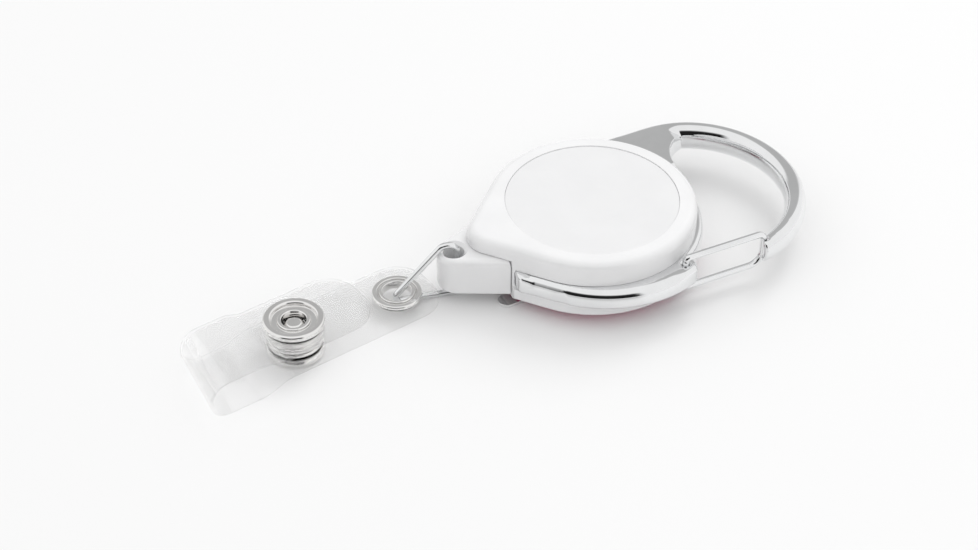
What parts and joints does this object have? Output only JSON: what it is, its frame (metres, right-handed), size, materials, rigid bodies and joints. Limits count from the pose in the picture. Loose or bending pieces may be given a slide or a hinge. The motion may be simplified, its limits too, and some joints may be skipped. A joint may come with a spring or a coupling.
{
  "type": "retractable badge reel",
  "caption": "Retractable badge reel: round spring reel ringed by a cast snap hook with a wire gate; its cord ends in a wire link and a folded clear strap with a press snap.",
  "frame": {"origin": "on the reel's spindle axis, in the plane of the belt clip's outer face, which it lies on", "axes": "+X from the cord end to the hook, +Z along the spindle out of the front face, +Y to the far side of the hook"},
  "size_m": [0.102, 0.0365, 0.0112],
  "materials": {
    "white_shell": "glossy moulded ABS",
    "label_face": "satin blank label",
    "magenta_back": "satin blank back label",
    "cast_chrome": "polished chrome plate on zinc casting",
    "spring_wire": "bright plated spring wire",
    "snap_metal": "nickel plated pressed brass",
    "clear_vinyl": "clear flexible vinyl",
    "spool_plastic": "natural acetal",
    "cord": "braided nylon",
    "spring_steel": "blued spring steel",
    "clip_steel": "nickel plated steel strip"
  },
  "bodies": {
    "case": {"front_shell": "white_shell", "rear_shell": "white_shell", "front_label_disc": "label_face", "back_label_disc": "magenta_back", "carabiner_frame": "cast_chrome", "cord_guide": "snap_metal", "power_spring": "spring_steel", "clip_rivet": "clip_steel"},
    "spool": {"spool": "spool_plastic", "spring_washer": "spool_plastic", "wound_cord": "cord"},
    "gate": {"gate_wire": "spring_wire"},
    "fitting": {"end_fitting": "white_shell", "cord_knot": "cord", "cord_lead": "cord"},
    "link": {"link_wire": "spring_wire"},
    "strap": {"strap_lower": "clear_vinyl", "strap_fold": "clear_vinyl", "eyelet": "snap_metal", "snap_stud": "snap_metal", "snap_post": "snap_metal"},
    "flap": {"strap_upper": "clear_vinyl", "snap_cap_ring": "snap_metal", "snap_socket": "snap_metal", "snap_spring": "spring_steel"},
    "clip": {"belt_clip": "clip_steel"}
  },
  "joints": [
    {"name": "cord_pull", "type": "slide", "parent": "case", "child": "fitting", "axis": [-1, 0, 0], "range_m": [0, 0.6], "stiffness_N_per_m": 1, "springref_m": -0.5, "deforming": ["cord_lead"]},
    {"name": "spool_spin", "type": "hinge", "parent": "case", "child": "spool", "pos_m": [0, 0, 0.005], "axis": [0, 0, 1], "range_deg": [-3360, 0], "deforming": ["power_spring"]},
    {"name": "gate_hinge", "type": "hinge", "parent": "case", "child": "gate", "pos_m": [0.0083, -0.0152, 0.0054], "axis": [0, 0, 1], "range_deg": [0, 35], "stiffness_Nm_per_rad": 0.02, "springref_deg": -17.19},
    {"name": "link_swivel", "type": "hinge", "parent": "fitting", "child": "link", "pos_m": [-0.02275, 0, 0.0054], "axis": [0, 0, 1], "range_deg": [-45, 45]},
    {"name": "strap_swing", "type": "hinge", "parent": "link", "child": "strap", "pos_m": [-0.0315, 0.00134, 0.00155], "axis": [0, 0, 1], "range_deg": [-45, 45]},
    {"name": "flap_open", "type": "hinge", "parent": "strap", "child": "flap", "pos_m": [-0.06231, -0.00521, 0.00312], "axis": [0.2079, -0.9781, 0], "range_deg": [0, 120], "deforming": ["strap_fold"]},
    {"name": "clip_swivel", "type": "hinge", "parent": "case", "child": "clip", "pos_m": [0, 0, 0.001], "axis": [0, 0, 1], "continuous": true}
  ],
  "couplings": [
    {"joint": "spool_spin", "follows": "cord_pull", "rad_per_m": -97.56}
  ]
}
